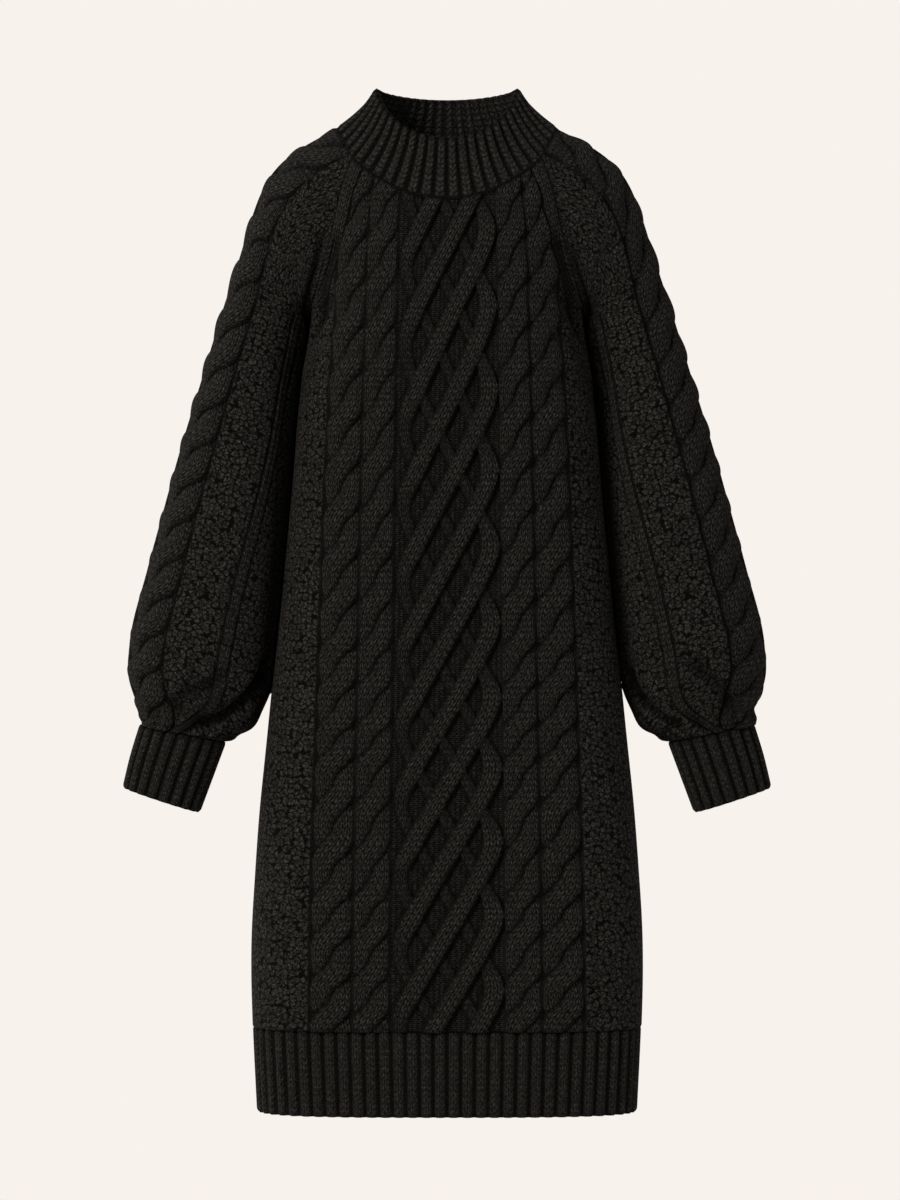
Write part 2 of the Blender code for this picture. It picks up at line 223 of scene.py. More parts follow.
def spline(knots, values, at):
    """A smooth curve through the values, each row's slope taken from its two neighbours."""
    slopes = np.gradient(values, knots)
    at = np.clip(at, min(knots[0], knots[-1]), max(knots[0], knots[-1]))
    order = 1 if knots[-1] > knots[0] else -1
    left = np.clip(np.searchsorted(knots * order, at * order, side="right") - 1, 0, len(knots) - 2)
    span = knots[left + 1] - knots[left]
    t = (at - knots[left]) / span
    rise = values[left] * (1 + 2 * t) * (1 - t) ** 2 + values[left + 1] * t * t * (3 - 2 * t)
    bend = slopes[left] * t * (1 - t) ** 2 - slopes[left + 1] * t * t * (1 - t)
    return rise + bend * span


def read(sizes, name, at):
    """A column of a table, at places along its first column."""
    return spline(next(iter(sizes.values())), sizes[name], np.asarray(at, float))


def unit(vectors):
    """The vectors at length 1. One of no length stays as it is."""
    return vectors / np.maximum(np.linalg.norm(vectors, axis=-1, keepdims=True), 1e-9)


def lengths_along(points):
    """How far along a line of points each one lies."""
    steps = np.linalg.norm(np.diff(points, axis=0), axis=1)
    return np.concatenate([[0.0], np.cumsum(steps)])


def at_lengths(points, along, places):
    """The points that lie at the given places along a line of points."""
    return np.stack([np.interp(places, along, axis) for axis in points.T], axis=1)


def lengths_down(grid):
    """How far down its column each point of a grid lies."""
    steps = np.linalg.norm(np.diff(grid, axis=0), axis=2)
    return np.concatenate([np.zeros((1, grid.shape[1])), np.cumsum(steps, axis=0)])


def lengths_round(grid):
    """How far round its row each point of a closed grid lies, and each row's whole girth."""
    rows = np.array([lengths_along(np.concatenate([row, row[:1]])) for row in grid])
    return rows[:, :-1], rows[:, -1:]


def curve_through(points, count):
    """Points along a smooth line through three others."""
    turn = np.linspace(0.0, 2.0, count)
    return np.stack([spline(np.arange(3.0), axis, turn) for axis in np.array(points).T], axis=1)


def smooth(low, high, values):
    """0 below low, 1 above high, and an easy slope between."""
    share = np.clip((values - low) / (high - low), 0.0, 1.0)
    return share * share * (3 - 2 * share)


def edging(distance, reach, start=0.0):
    """1 up to start from an edge, and an easy slope down to 0 at reach from it."""
    return 1 - smooth(start, reach, distance)


def bell(distance, width):
    """1 along a line, and a soft fade to nothing on both sides of it."""
    return np.exp(-((distance / width) ** 2))


def rounded(share, squareness):
    """How far out a squared-off round stands, by share of the way from its middle to its side."""
    return np.clip(1 - np.abs(share) ** squareness, 0, 1) ** (1 / squareness)


# -------- how the knitting is charted

# A chart gives, for places on a piece, the relief in millimetres, the stitch column and row as running
# numbers, how far the place is knit columns, moss stitch or neither, which is the purl side, and how much
# painted shade darkens its colour, as where it lies between what stands up beside it or in a fold or seam.
# A piece may add its folds' depth, and how far its relief is held level beside a seam.
CHART_FIELDS = ("relief", "column", "row", "knit", "moss", "hollow")


def chart_like(places):
    """A bare chart with a value for each place."""
    return {name: np.zeros_like(places) for name in CHART_FIELDS}


def over(chart, where, **fields):
    """Gives the chart other values in the places picked out."""
    for name, values in fields.items():
        chart[name] = np.where(where, values, chart[name])


LATTICE_HALF = 50.5
LATTICE_REACH = 41.5  # how far a band's middle swings from the centre line
LATTICE_BANDS = 5
# Distances down at which one band after another turns at the right edge, as one looks at the panel.
LATTICE_TURNS = (
    -50.0, 30.0, 105.0, 180.0, 263.0, 342.0, 416.0, 491.0, 565.0, 634.0, 706.0, 779.0, 852.0, 925.0, 998.0,
)
BAND_HALF, UNDER_BAND_HALF = 9.0, 6.4
BAND_COLUMNS, UNDER_BAND_COLUMNS = 3, 3
BAND_CROWN, UNDER_BAND_CROWN = 2.0, 1.7
BAND_LEVEL, UNDER_BAND_LEVEL = 0.9, -2.0
UNDER_BAND_SHADE = 0.34
LATTICE_GROUND = -3.0
TURN_SHARPNESS = 0.96  # 1 turns a band at a point, 0 swings it like a wave
EARLY_RISE = 0.24  # how long before its turn a band comes to the top or dives, as a phase
BAND_SHADOW_RELIEF, BAND_SHADOW = 1.4, 0.9  # how the ground and lower bands sink, and darken with painted shadow, beside a band


def lattice(chart, across, down):
    """Five bands that zigzag down the middle. As one looks at the panel, each passes over on its way down to
    the left, and under on its way back."""
    inside = np.abs(across) < LATTICE_HALF
    # The ground between the bands gets painted shade.
    over(chart, inside, relief=LATTICE_GROUND, knit=0.0, moss=0.0, hollow=0.25)
    over(chart, inside, column=across / STITCH_WIDTH, row=down / STITCH_HEIGHT)
    count = np.interp(down, LATTICE_TURNS, np.arange(len(LATTICE_TURNS)) - 2.0)
    best = np.where(inside, LATTICE_GROUND, 99.0)
    for band in range(LATTICE_BANDS):
        phase = 2 * np.pi * (count - band) / LATTICE_BANDS
        middle = LATTICE_REACH * np.arcsin(TURN_SHARPNESS * np.cos(phase)) / np.arcsin(TURN_SHARPNESS)
        top = smooth(-0.3, 0.25, np.sin(phase + EARLY_RISE))
        half = UNDER_BAND_HALF + (BAND_HALF - UNDER_BAND_HALF) * top
        crown = UNDER_BAND_CROWN + (BAND_CROWN - UNDER_BAND_CROWN) * top
        level = UNDER_BAND_LEVEL + (BAND_LEVEL - UNDER_BAND_LEVEL) * top
        place = (across - middle) / half
        height = level + crown * np.sqrt(np.clip(1 - place * place, 0, 1))
        height = np.where(np.abs(place) < 1, height, -99.0)
        won = inside & (height > best)
        best = np.where(won, height, best)
        columns = np.where(top > 0.5, BAND_COLUMNS, UNDER_BAND_COLUMNS)
        edge = np.abs(place) ** 6
        over(chart, won, relief=height, column=(place + 1) * columns / 2, row=down / COLUMN_ROW, knit=1.0)
        # Painted shade: darker on a band where it passes under, and towards each band's edges.
        over(chart, won, hollow=UNDER_BAND_SHADE * (1 - top) + (0.8 - 0.3 * top) * edge)
        # Painted shadow beside each band on top, and a painted dark outline round each band that passes
        # under; the ground also sinks there.
        right_shadow = bell(across - middle - half - 1.5, 2.0)
        left_shadow = 0.5 * bell(across - middle + half + 1.0, 1.6)
        outline = 0.45 * bell(np.abs(across - middle) - half - 0.7, 1.3)
        shadow = (right_shadow + left_shadow) * top * (inside & ~won)
        shadow += outline * (1 - top) * (inside & (best == LATTICE_GROUND))
        chart["relief"] -= BAND_SHADOW_RELIEF * shadow
        chart["hollow"] += BAND_SHADOW * shadow


# Distances down at which the two strands of each panel's cables cross.
CABLE_CROSSINGS = (
    -25.0, 20.0, 65.0, 110.0, 155.0, 200.0, 245.0, 290.0, 335.0, 380.0, 426.0, 471.0, 515.0, 553.0, 592.0,
    626.0, 669.0, 715.0, 760.0, 799.0, 841.0, 878.0, 919.0,
)
# The same on a sleeve, by distance below the underarm.
SLEEVE_CROSSINGS = (
    -254.0, -212.0, -170.0, -128.0, -83.0, -36.0, 14.0, 57.0, 98.0, 138.0, 177.0, 217.0, 257.0, 296.0, 334.0,
    371.0, 406.0, 440.0,
)
STRAND_WIDENING = 0.31  # how much of the cable's half width a strand gains where it crosses
CREVICE, CREVICE_DEPTH = 2.1, 2.0  # the shaded line beside a strand that passes over


def rope(chart, across, down, crossings, half, columns, lift, crown, level):
    """Two strands twisted round each other, the upper one always on its way down to the left. Each has some
    columns, rises or dives by lift at a crossing, and stands up by crown above its level."""
    inside = np.abs(across) < half
    phase = np.pi * np.interp(down, crossings, np.arange(len(crossings)))
    reach, strand_half = half * 0.5, half * (0.5 + STRAND_WIDENING * np.cos(phase) ** 2)
    heights, places = [], []
    for sign in (1.0, -1.0):
        place = (across + sign * reach * np.sin(phase)) / strand_half
        dome = np.clip(1 - place * place, 0, 1) ** 0.5
        height = level + sign * lift * np.cos(phase) + crown * dome
        heights.append(np.where(np.abs(place) < 1, height, -99.0))
        places.append(place)
    first = heights[0] > heights[1]
    top = np.maximum(*heights)
    place = np.where(first, places[0], places[1])
    beside = (np.abs(np.where(first, places[1], places[0])) - 1) * strand_half
    under = np.where(first, -np.cos(phase), np.cos(phase)) > 0
    gap = np.maximum(bell(heights[0] - heights[1], 0.9), bell(np.clip(beside, 0.0, 99.0), CREVICE) * under)
    relief = top - CREVICE_DEPTH * gap
    shown = inside & (top > -50)
    # Painted shade on the cable's ground, in the gap where the strands meet, beside the upper strand and
    # towards each strand's edges.
    over(chart, inside, relief=level - crown * 0.6, knit=0.0, moss=0.0, hollow=0.35)
    over(chart, inside, column=across / STITCH_WIDTH, row=down / STITCH_HEIGHT)
    over(chart, shown, relief=relief, column=(place + 1) * columns / 2, row=down / COLUMN_ROW, knit=1.0)
    over(chart, shown, hollow=np.clip(0.9 * gap + 0.55 * np.abs(place) ** 8, 0, 1))


CHAIN_WIDTH, CHAIN_TOP, CHAIN_CROWN = 5.4, 0.9, 1.9


def chain(chart, across, down):
    """One column of knit stitches, standing up between two grooves."""
    place = across / (CHAIN_WIDTH / 2)
    inside = np.abs(place) < 1
    height = CHAIN_TOP - CHAIN_CROWN + CHAIN_CROWN * np.sqrt(np.clip(1 - place * place, 0, 1))
    over(chart, inside, relief=height, column=(place + 1) / 2, row=down / COLUMN_ROW, knit=1.0, moss=0.0)
    # Painted shade towards the column's edges.
    over(chart, inside, hollow=0.5 * np.abs(place) ** 6)


def rib(position, down, knit_share, columns, crown, groove):
    """Ribbing: knit columns stand up, and a purl column lies back between them. Position counts the ribs."""
    chart = chart_like(down)
    place = ((position % 1.0) - 0.5) / (knit_share / 2)
    dome = np.clip(1 - np.abs(place) ** 2.2, 0, 1) ** 0.6
    knit = (np.abs(place) < 1).astype(float)
    column = np.where(knit > 0, (place + 1) * columns / 2, (place + 1) / 2)
    over(chart, True, relief=-groove + (crown + groove) * dome, column=column, row=down / COLUMN_ROW)
    # Painted shade on the purl column that lies back, and towards the edges of each raised column.
    over(chart, True, knit=knit, hollow=1 - dome**0.7)
    return chart


def trough(across, down, start, end, width, depth):
    """A soft fold's depth: deepest along the line from start to end, and fading past both of them."""
    run = np.array(end) - np.array(start)
    length = np.hypot(*run)
    along = ((across - start[0]) * run[0] + (down - start[1]) * run[1]) / length
    aside = ((across - start[0]) * run[1] - (down - start[1]) * run[0]) / length
    beyond = np.maximum(np.maximum(-along, along - length), 0.0)
    return depth * bell(aside, width) * bell(beyond, 1.6 * width)


# -------- pieces of cloth from grids


def normals_of(grid, closed):
    """The outward direction at each point of a grid."""
    if closed:
        wide = np.concatenate([grid[:, -1:], grid, grid[:, :1]], axis=1)
        sideways = wide[:, 2:] - wide[:, :-2]
    else:
        sideways = np.gradient(grid, axis=1)
    return unit(np.cross(sideways, -np.gradient(grid, axis=0)))


def corner_ids(count, width, closed):
    """A grid's point numbers, and the corners of the faces between them."""
    ids = np.arange(count * width).reshape(count, width)
    right = np.roll(ids, -1, axis=1) if closed else ids[:, 1:]
    left = ids if closed else ids[:, :-1]
    return ids, np.stack([left[:-1], left[1:], right[1:], right[:-1]], axis=-1).reshape(-1, 4)


def border(ids, closed):
    """A grid's edges as closed runs, in the order that faces the strips out."""
    if closed:
        return [ids[0], ids[-1][::-1]]
    return [np.concatenate([ids[0], ids[1:, -1], ids[-1, -2::-1], ids[-2:0:-1, 0]])]


def zip_edge(fine, coarse):
    """Triangles between a fine run of points and a coarse one behind it."""
    step = len(fine) // len(coarse)
    half = step // 2
    after, ahead = np.roll(fine, -1), np.roll(coarse, -1)
    owner = np.arange(len(fine)) // step
    near = np.where(np.arange(len(fine)) % step < half, coarse[owner], ahead[owner])
    fans = np.stack([fine, after, near], axis=1)
    links = np.stack([fine[half::step], ahead, coarse], axis=1)
    return np.concatenate([fans, links])


def make_cloth(name, outer, inner, step, closed, charts):
    """One piece as a closed shell. The inner grid has one point for every step points of the outer one."""
    ids, outer_faces = corner_ids(*outer.shape[:2], closed)
    inner_ids, inner_faces = corner_ids(*inner.shape[:2], closed)
    start = outer.shape[0] * outer.shape[1]
    strips = [
        zip_edge(fine, coarse + start)
        for fine, coarse in zip(border(ids, closed), border(inner_ids, closed))
    ]
    quads = np.concatenate([outer_faces, inner_faces[:, ::-1] + start])
    triangles = np.concatenate(strips)
    points = np.concatenate([outer.reshape(-1, 3), inner.reshape(-1, 3)]) * MM
    mesh = bpy.data.meshes.new(name)
    mesh.vertices.add(len(points))
    mesh.vertices.foreach_set("co", points.astype(np.float32).ravel())
    corners = np.concatenate([quads.ravel(), triangles.ravel()])
    sizes = np.concatenate([np.full(len(quads), 4), np.full(len(triangles), 3)])
    mesh.loops.add(len(corners))
    mesh.loops.foreach_set("vertex_index", corners.astype(np.int32))
    mesh.polygons.add(len(sizes))
    mesh.polygons.foreach_set("loop_start", np.concatenate([[0], np.cumsum(sizes)[:-1]]).astype(np.int32))
    mesh.update(calc_edges=True)
    mesh.validate()
    mesh.shade_smooth()
    values = {key: np.concatenate([chart[key].ravel() for chart in charts]) for key in CHART_FIELDS}
    stitch = mesh.attributes.new("stitch", "FLOAT_VECTOR", "POINT")
    places = np.stack([values["column"], values["row"], np.zeros(len(points))], axis=1)
    stitch.data.foreach_set("vector", places.astype(np.float32).ravel())
    for key in ("knit", "moss", "hollow"):
        layer = mesh.attributes.new(key, "FLOAT", "POINT")
        layer.data.foreach_set("value", values[key].astype(np.float32))
    piece = bpy.data.objects.new(name, mesh)
    bpy.context.scene.collection.objects.link(piece)
    return piece


def pulled_in(grid, closed):
    """The grid with its edges drawn back by half a seam gap."""
    grid = grid.copy()
    grid[0] += unit(grid[1] - grid[0]) * SEAM_GAP / 2
    grid[-1] += unit(grid[-2] - grid[-1]) * SEAM_GAP / 2
    if not closed:
        grid[:, 0] += unit(grid[:, 1] - grid[:, 0]) * SEAM_GAP / 2
        grid[:, -1] += unit(grid[:, -2] - grid[:, -1]) * SEAM_GAP / 2
    return grid


def knit_piece(name, grid, chart, closed, step, edge_sink, inner_chart=None, laps=(0.0, 0.0)):
    """A piece from its smooth form and its chart. Its outer relief sinks towards each edge that is sewn. The
    back of the knitting laps past the top and bottom seams by as much as laps says."""
    facing = normals_of(grid, closed)
    base = pulled_in(grid, closed)
    relief = (chart["relief"] - edge_sink) * (1 - chart.get("hold", 0.0))
    # Painted shade along each sewn edge, where the relief sinks into the seam.
    chart["hollow"] = np.clip(chart["hollow"] + 0.8 * smooth(0.2, 1.2, edge_sink), 0, 1)
    outer = base + facing * relief[..., None]
    folds = chart.get("fold", np.zeros_like(relief))
    if inner_chart is None:
        inner_chart = {key: chart[key] for key in chart}
        inner_chart["knit"] = inner_chart["moss"] = np.zeros_like(relief)
        # The back of the knitting gets a slight, even painted shade.
        inner_chart["hollow"] = np.full_like(relief, 0.15)
        depth = -KNIT_THICKNESS - folds
    else:
        depth = -KNIT_THICKNESS + inner_chart["relief"] - folds
    inner = (base + facing * depth[..., None])[::step, ::step]
    inner[0] += unit(inner[0] - inner[1]) * laps[0]
    inner[-1] += unit(inner[-1] - inner[-2]) * laps[1]
    inner_chart = {key: inner_chart[key][::step, ::step] for key in CHART_FIELDS}
    return make_cloth(name, outer, inner, step, closed, [chart, inner_chart])


# -------- front and back

YOKE_ROWS, SKIRT_ROWS = 92, 332
DESIGN_COLUMNS, SIDE_COLUMNS = 76, 26  # each side of the middle
DESIGN_HALF = 127.0
PANEL_STEP = 4
ARC_SAMPLES = 480
DESIGN_EDGE = 123.0  # where the moss stitch at the sides begins
# The cables on each side of the lattice: the middle line's place across, then how each one is knitted.
PANEL_CABLES = (
    (67.4, dict(half=16.0, columns=4, lift=1.9, crown=2.1, level=-1.2)),
    (102.4, dict(half=18.0, columns=4, lift=2.7, crown=3.0, level=-1.4)),
)
RAGLAN_BAND, RAGLAN_GROOVE = 15.0, 2.6
RAGLAN_COLUMNS = 3
RAGLAN_BAND_END = 14  # rows above the underarm
# How far the knitting is stretched sideways, by height.
STRETCH = table(
    "height share",
    (10.0, 0.95),
    (-150.0, 0.97),
    (-270.0, 1.0),
    (-500.0, 1.05),
    (-870.0, 1.12),
    (-979.0, 1.12),
)
# Soft folds that run from under each arm onto the panels: from, to, width and depth.
ARM_FOLDS = (
    ((150.0, 192.0), (120.0, 120.0), 8.0, 6.0),
    ((168.0, 214.0), (128.0, 176.0), 7.0, 4.0),
    ((176.0, 262.0), (150.0, 226.0), 12.0, 2.2),
)


def panel_row(edge, middle_z, depth_name, squareness):
    """One row of a panel: points at the columns' distances from the middle line, and those distances."""
    share = np.sin(np.linspace(-np.pi / 2, np.pi / 2, ARC_SAMPLES))
    x, end_y, end_z = edge
    z = end_z + (middle_z - end_z) * (1 - np.abs(share) ** NECKLINE_FALL)
    depth, end_depth = (read(BODY, depth_name, place) for place in (z, end_z))
    section_width = x / (1 - (abs(end_y) / end_depth) ** squareness) ** (1 / squareness)
    y = depth * rounded(share * x / section_width, squareness) * (-1.0 if depth_name == "front" else 1.0)
    points = np.stack([x * share, y, z], axis=1)
    along = lengths_along(points)
    half = along[-1] / 2
    design = min(DESIGN_HALF * float(read(STRETCH, "share", middle_z)), 0.8 * half)
    inner = np.linspace(0, design, DESIGN_COLUMNS + 1)
    aside = np.concatenate([inner, np.linspace(design, half, SIDE_COLUMNS + 1)[1:]])
    aside = np.concatenate([-aside[:0:-1], aside])
    return at_lengths(points, along, aside + half), aside


def yoke_row(raglan, share, depth_name):
    """A panel's row whose ends are at a share of the way up the raglan seams."""
    edge = [read(raglan, name, share) for name in "xyz"]
    return panel_row(edge, read(raglan, "middle_z", share), depth_name, YOKE_SQUARENESS)


def panel_grid(depth_name, raglan):
    """A panel's rows from the neck down, and how far from the middle line each point lies."""
    rows, asides = [], []
    for share in np.linspace(1.0, 0.0, YOKE_ROWS + 1)[:-1]:
        row, aside = yoke_row(raglan, share, depth_name)
        rows.append(row)
        asides.append(aside)
    for height in np.linspace(UNDERARM_HEIGHT, RIB_TOP_HEIGHT, SKIRT_ROWS + 1):
        edge = read(BODY, "half_width", height), 0.0, height
        row, aside = panel_row(edge, height, depth_name, read(BODY, "squareness", height))
        rows.append(row)
        asides.append(aside)
    return np.array(rows), np.array(asides)


def panel_chart(grid, aside, way):
    """The whole design of a panel. Places across count from its middle line to the right, as one sees it."""
    down = -grid[..., 2]
    cloth = aside * way / read(STRETCH, "share", grid[..., 2])
    chart = chart_like(cloth)
    moss_relief = -0.5 + 0.35 * np.sin(cloth / 21.0 + down / 47.0) * np.sin(down / 33.0 - cloth / 60.0)
    over(chart, True, relief=moss_relief, column=cloth / MOSS_WIDTH, row=down / MOSS_HEIGHT, moss=1.0)
    groove = (np.abs(cloth) < DESIGN_EDGE) & (np.abs(cloth) > LATTICE_HALF)
    # The sunken ground round the cables, between lattice and moss, gets painted shade.
    over(chart, groove, relief=-2.2, moss=0.0, hollow=0.35)
    over(chart, groove, column=cloth / STITCH_WIDTH, row=down / STITCH_HEIGHT)
    lattice(chart, cloth, down)
    for side in (-1.0, 1.0):
        for middle, cable in PANEL_CABLES:
            rope(chart, cloth - middle * side, down, CABLE_CROSSINGS, **cable)
    return chart


def raglan_band(chart, from_edge, along_edge, yoke):
    """Three knit columns beside the raglan seam, with a groove on their inner side."""
    banded = (from_edge < RAGLAN_BAND) & yoke
    groove = (from_edge < RAGLAN_BAND + RAGLAN_GROOVE) & yoke & ~banded
    share = from_edge / RAGLAN_BAND
    place = share * 2 - 1
    height = -0.8 + 2.4 * np.clip(1 - place * place, 0, 1) ** 0.4
    # The groove gets painted shade, and the band none.
    over(chart, groove, relief=-2.4, knit=0.0, moss=0.0, hollow=0.8)
    over(chart, banded, relief=height, column=share * RAGLAN_COLUMNS, row=along_edge / COLUMN_ROW)
    over(chart, banded, knit=1.0, moss=0.0, hollow=0.0)


def on_raglan(places):
    """1 down to the underarm, where body and sleeve meet in a valley, and 0 at the side seams below it."""
    return smooth(-192.0, -188.0, places[..., 2])


def make_panel(name, depth_name, raglan):
    grid, aside = panel_grid(depth_name, raglan)
    facing_front = depth_name == "front"
    chart = panel_chart(grid, aside, 1.0 if facing_front else -1.0)
    edge = grid[:, -1]
    seam_way = unit(np.gradient(edge, axis=0))
    row_way = unit(grid[:, -1] - grid[:, -2])
    square = np.sqrt(np.clip(1 - np.sum(seam_way * row_way, axis=1) ** 2, 0.2, 1))[:, None]
    from_edge = (aside[:, -1:] - np.abs(aside)) * square
    in_yoke = (np.arange(len(grid)) < YOKE_ROWS - RAGLAN_BAND_END)[:, None]
    raglan_band(chart, from_edge, lengths_along(edge)[:, None], in_yoke)
    fold = np.zeros_like(aside)
    for start, end, width, depth in ARM_FOLDS:
        fold += trough(np.abs(aside), -grid[..., 2], start, end, width, depth)
    fold *= smooth(0.0, 6.0, from_edge)
    chart["relief"] = chart["relief"] - fold
    chart["fold"] = fold
    from_top = lengths_along(grid[:, grid.shape[1] // 2])[:, None] + np.zeros_like(aside)
    at_neck = edging(from_top, 3.5, 0.5)
    # Painted shade in the folds under the arms, and along the neckline seam.
    chart["hollow"] = np.maximum(chart["hollow"] + 0.13 * fold, 0.85 * at_neck)
    chart["hold"] = np.maximum(edging(from_edge, 3.5, 0.5) * on_raglan(grid), at_neck)
    from_bottom = from_top[-1:] - from_top
    sink = 1.3 * edging(from_edge, 2.6) + 1.0 * edging(from_top, 3.0) + 0.8 * edging(from_bottom, 1.5)
    if not facing_front:
        grid = grid[:, ::-1]
        chart = {key: values[:, ::-1] for key, values in chart.items()}
        sink = sink[:, ::-1]
    return knit_piece(name, grid, chart, False, PANEL_STEP, sink)


# -------- hem ribs

HEM_RIBS, HEM_RIB_COLUMNS, HEM_RIB_ROWS = 36, 7, 38
HEM_RIB_WIDTH = 15.0


def make_hem_rib(name, depth_name):
    rows, places = [], np.linspace(0.0, 1.0, HEM_RIBS * HEM_RIB_COLUMNS + 1)
    for height in np.linspace(RIB_TOP_HEIGHT, HEM_HEIGHT, HEM_RIB_ROWS + 1):
        half_width = float(read(BODY, "half_width", height))
        share = np.sin(np.linspace(-np.pi / 2, np.pi / 2, ARC_SAMPLES))
        bulge = rounded(share, read(BODY, "squareness", height))
        y = read(BODY, depth_name, height) * bulge * (-1.0 if depth_name == "front" else 1.0)
        points = np.stack([half_width * share, y, np.full(ARC_SAMPLES, height)], axis=1)
        along = lengths_along(points)
        row = at_lengths(points, along, places * along[-1])
        row[:, :2] *= 1 - HEM_RIB_STEP / half_width
        rows.append(row)
    grid = np.array(rows)
    if depth_name != "front":
        grid = grid[:, ::-1]
    position = places[None, :] * HEM_RIBS + np.zeros(grid.shape[:2])
    down = -grid[..., 2]
    chart = rib(position, down, 0.76, 2, 0.8, 3.0)
    inner = rib(position + 0.5, down, 0.6, 1, 0.6, 1.4)
    from_side = np.minimum(places, 1 - places)[None, :] * HEM_RIBS * HEM_RIB_WIDTH
    sink = edging(down - down[0], 2.5) + 1.6 * edging(down[-1] - down, 3.0) + 0.8 * edging(from_side, 2.0)
    return knit_piece(name, grid, chart, False, 1, sink, inner)


# -------- sleeves

CAP_ROWS, SLEEVE_ROWS = 76, 212
SLEEVE_COLUMNS = 212
SLEEVE_STEP = 4
CROWDED_TURN, CROWDING = 0.34, 0.045
CABLE_TURN_AT_NECK, CABLE_TURN = 0.440, 0.390
SLEEVE_CABLE = dict(half=26.5, columns=5, lift=2.7, crown=3.4, level=-2.1)
SLEEVE_GROOVE = 3.0
CHAIN_PLACE, CHAIN_DRIFT = 20.0, 42.0  # a pair of knit columns, by distance from the sleeve's innermost line
CHAIN_GROOVES_HALF = 7.5
REST_CLEARANCE = 0.1  # between the sleeve and the body's side where it rests, before either one's relief
REST_MIDDLE, REST_FADE = 14.0, (23.0, 46.0)  # where it rests, from front to back, and how far from there
REST_REACH = 34.0  # the most that it is let in
# Large folds where a sleeve is gathered: the turn and distance down of both ends, then width and depth.
FOLDS = {
    "right_sleeve": (
        (0.20, 416.0, 0.05, 345.0, 9.0, 13.0),
        (0.29, 406.0, 0.20, 362.0, 9.0, 6.0),
        (0.70, 408.0, 0.80, 352.0, 14.0, 6.0),
    ),
    "left_sleeve": (
        (0.16, 412.0, 0.05, 352.0, 9.0, 9.0),
        (0.33, 408.0, 0.24, 356.0, 9.0, 6.0),
        (0.76, 410.0, 0.88, 356.0, 14.0, 7.0),
    ),
}
# Small gathers above a cuff: turn, how far up it runs, width and depth.
GATHERS = (
    (0.055, 34.0, 5.0, 2.6), (0.115, 46.0, 6.0, 3.2), (0.165, 30.0, 4.5, 2.2), (0.235, 52.0, 6.5, 3.4),
    (0.290, 34.0, 5.0, 2.4), (0.345, 42.0, 5.5, 2.8), (0.430, 30.0, 6.0, 2.2), (0.500, 44.0, 5.5, 2.8),
    (0.560, 36.0, 5.0, 2.4), (0.625, 50.0, 6.5, 3.2), (0.690, 32.0, 5.0, 2.4), (0.745, 44.0, 6.0, 3.0),
    (0.815, 36.0, 5.0, 2.4), (0.880, 48.0, 6.0, 3.0), (0.945, 34.0, 5.0, 2.6),
)
GATHER_STRENGTH = 1.9


def armhole(places):
    """The left sleeve's edge: from the underarm up the front, past the neck and down the back."""
    shares = np.linspace(0, 1, 120)
    front, back = (
        np.stack([read(raglan, name, shares) for name in "xyz"], axis=1)
        for raglan in (FRONT_RAGLAN, BACK_RAGLAN)
    )
    neck = curve_through((front[-1], SIDE_NECK, back[-1]), 60)
    loop = np.concatenate([front, neck[1:-1], back[::-1]])
    along = lengths_along(loop)
    return at_lengths(loop, along, places * along[-1])


def ring(sizes, down, turns, squareness):
    """A section of the left sleeve or cuff, and the direction that it faces."""
    inner = np.array([read(sizes, "inner_x", down), 0.0, read(sizes, "inner_z", down)])
    outer = np.array([read(sizes, "outer_x", down), 0.0, read(sizes, "outer_z", down)])
    middle, half = (inner + outer) / 2, (inner - outer) / 2
    round_x, round_y = np.cos(2 * np.pi * turns), np.sin(2 * np.pi * turns)
    side = np.sign(round_x) * np.abs(round_x) ** (2 / squareness)
    front = np.sign(round_y) * np.abs(round_y) ** (2 / squareness)
    points = middle + side[:, None] * half
    points[:, 1] = read(sizes, "middle_y", down) - front * read(sizes, "half_depth", down)
    way = np.array([-half[2], 0.0, half[0]])
    return points, way / np.linalg.norm(way)


def bridge(start, start_way, end, end_way, share):
    """A point on a cubic from start to end that leaves and arrives along the two directions."""
    reach = np.linalg.norm(end - start, axis=1, keepdims=True)
    first, last = start + start_way * reach * CAP_START, end - end_way * reach * CAP_END
    rest = 1 - share
    weights = rest**3, 3 * rest * rest * share, 3 * rest * share * share, share**3
    return sum(weight * point for weight, point in zip(weights, (start, first, last, end)))


def sleeve_turns():
    """Where the columns lie round a sleeve, closest together at the cable and the front."""
    even = np.arange(SLEEVE_COLUMNS) / SLEEVE_COLUMNS
    return even - CROWDING * np.sin(2 * np.pi * (even - CROWDED_TURN))


def sleeve_grid(turns):
    """The left sleeve's form, from its raglan edge down to the cuff, before it rests on the body."""
    edge = armhole(turns % 1.0)
    first, way = ring(SLEEVE, 0.0, turns, SLEEVE_SQUARENESS)
    climb = smooth(0.0, 1.0, (edge[:, 2] - UNDERARM_HEIGHT) / -UNDERARM_HEIGHT)[:, None]
    leave = unit(np.array(UNDERARM_WAY) * (1 - climb) + np.array(SHOULDER_WAY) * climb)
    rows = [bridge(edge, leave, first, way, share) for share in np.linspace(0, 1, CAP_ROWS + 1)[:-1]]
    for down in np.linspace(0.0, SLEEVE["down"][-1], SLEEVE_ROWS + 1):
        rows.append(ring(SLEEVE, down, turns, SLEEVE_SQUARENESS)[0])
    return np.array(rows)


